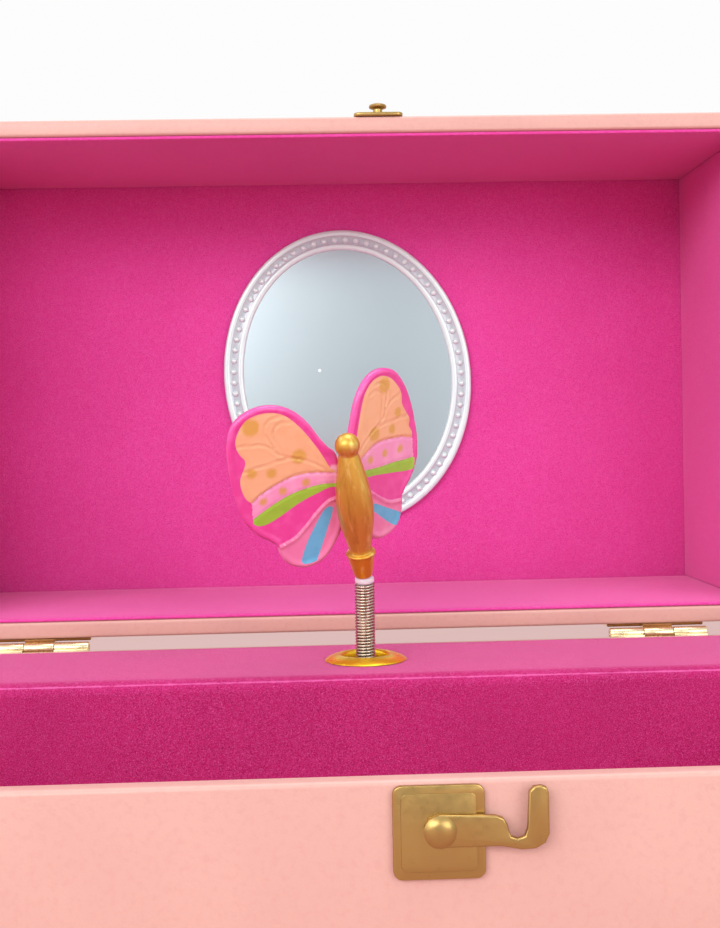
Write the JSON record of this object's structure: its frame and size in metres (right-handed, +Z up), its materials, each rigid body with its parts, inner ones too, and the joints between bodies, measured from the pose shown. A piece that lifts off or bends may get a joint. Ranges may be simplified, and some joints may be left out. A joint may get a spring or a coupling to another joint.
{
  "type": "wind-up music box",
  "caption": "Wind-up musical jewellery box with its lid open: felt-lined tray, oval mirror, and a painted butterfly on a coil spring.",
  "frame": {"origin": "centre of the base board's underside", "axes": "+Z up, +X the right-hand end seen from the front, +Y the back, where the hinges are; the lid stands open, upright behind the base"},
  "size_m": [0.21, 0.1968, 0.1985],
  "materials": {
    "paper": "board wrapped in pale pink imitation-leather paper",
    "felt": "hot pink felt on card",
    "board": "fibreboard",
    "gilt": "yellow gilt eyelet",
    "silver": "silver-white metallised plastic",
    "mirror": "silvered glass",
    "hinge_brass": "brass-plated sheet",
    "zinc": "bright zinc die casting",
    "movement_brass": "turned and stamped brass",
    "plastic": "white plastic",
    "gold_paint": "gold paint on plastic",
    "wing_paint": "painted plastic",
    "steel": "bright steel"
  },
  "bodies": {
    "box": {"base_board": "paper", "front_wall": "paper", "back_wall": "paper", "left_wall": "paper", "right_wall": "paper", "floor_lining": "felt", "front_lining": "felt", "left_lining": "felt", "right_lining": "felt", "compartment_front_board": "board", "compartment_top_board": "board", "compartment_felt": "felt", "grommet": "gilt", "left_hinge_base_leaf": "hinge_brass", "left_hinge_pin": "hinge_brass", "right_hinge_base_leaf": "hinge_brass", "right_hinge_pin": "hinge_brass", "clasp_base_plate": "hinge_brass", "movement_block": "board", "bedplate": "zinc", "bedplate_screw_left": "steel", "bedplate_screw_right": "steel", "spring_barrel": "movement_brass", "mainspring": "steel", "comb": "steel", "comb_screw_lower": "steel", "comb_screw_upper": "steel", "lower_bearing": "movement_brass", "upper_frame": "movement_brass"},
    "lid": {"lid_panel": "paper", "lid_back_wall": "paper", "lid_front_wall": "paper", "lid_left_wall": "paper", "lid_right_wall": "paper", "lid_panel_lining": "felt", "lid_back_lining": "felt", "lid_front_lining": "felt", "lid_left_lining": "felt", "lid_right_lining": "felt", "mirror_frame": "silver", "mirror_glass": "mirror", "left_hinge_lid_leaf": "hinge_brass", "right_hinge_lid_leaf": "hinge_brass", "clasp_lid_plate": "hinge_brass"},
    "clasp_hook": {"clasp_hook": "hinge_brass"},
    "cylinder": {"musical_cylinder": "movement_brass", "cylinder_gear": "movement_brass", "drive_shaft": "steel"},
    "great_wheel": {"great_wheel": "movement_brass"},
    "winding": {"winding_arbor": "steel", "winding_key": "steel"},
    "governor_wheel": {"governor_wheel": "movement_brass"},
    "governor_worm": {"governor_worm": "steel", "air_brake": "plastic"},
    "stop_wire": {"stop_wire": "steel"},
    "figure_carrier": {"coil_spring": "steel"},
    "butterfly": {"figure_plug": "plastic", "butterfly_body": "gold_paint", "left_wing": "wing_paint", "right_wing": "wing_paint"}
  },
  "joints": [
    {"name": "lid_hinge", "type": "hinge", "parent": "box", "child": "lid", "pos_m": [0, 0.0652, 0.0665], "axis": [1, 0, 0], "range_deg": [0, 90]},
    {"name": "clasp_swing", "type": "hinge", "parent": "box", "child": "clasp_hook", "pos_m": [0.0094, -0.0648, 0.059], "axis": [0, -1, 0], "range_deg": [0, 90]},
    {"name": "cylinder_spin", "type": "hinge", "parent": "box", "child": "cylinder", "pos_m": [0.0026, 0.0379, 0.038], "axis": [0, 0, 1], "continuous": true},
    {"name": "great_wheel_spin", "type": "hinge", "parent": "box", "child": "great_wheel", "pos_m": [0.0026, 0.041, 0.0175], "axis": [0, 1, 0], "continuous": true},
    {"name": "winding_key_turn", "type": "hinge", "parent": "box", "child": "winding", "pos_m": [0.0026, 0.06, 0.0175], "axis": [0, -1, 0], "continuous": true},
    {"name": "governor_wheel_spin", "type": "hinge", "parent": "box", "child": "governor_wheel", "pos_m": [0.01172, 0.0379, 0.05], "axis": [0, 0, 1], "continuous": true},
    {"name": "governor_worm_spin", "type": "hinge", "parent": "box", "child": "governor_worm", "pos_m": [0.01722, 0.0379, 0.0517], "axis": [0, 1, 0], "continuous": true},
    {"name": "stop_wire_press", "type": "slide", "parent": "box", "child": "stop_wire", "axis": [0, 0, -1], "range_m": [0, 0.0028]},
    {"name": "figure_fold", "type": "hinge", "parent": "box", "child": "figure_carrier", "pos_m": [0.0026, 0.0379, 0.068], "axis": [1, 0, 0], "range_deg": [0, 60], "deforming": ["coil_spring"]},
    {"name": "butterfly_spin", "type": "hinge", "parent": "figure_carrier", "child": "butterfly", "pos_m": [0.0026, 0.03556, 0.0841], "axis": [0, -0.2588, 0.9659], "continuous": true, "deforming": ["coil_spring"]}
  ],
  "couplings": [
    {"joint": "great_wheel_spin", "follows": "cylinder_spin", "ratio": -0.27778},
    {"joint": "governor_wheel_spin", "follows": "cylinder_spin", "ratio": -3.75},
    {"joint": "governor_worm_spin", "follows": "cylinder_spin", "ratio": 52.5},
    {"joint": "butterfly_spin", "follows": "cylinder_spin", "ratio": 1},
    {"joint": "stop_wire_press", "follows": "lid_hinge", "m_per_rad": 0.0017825},
    {"joint": "figure_fold", "follows": "lid_hinge", "ratio": 0.66667}
  ]
}
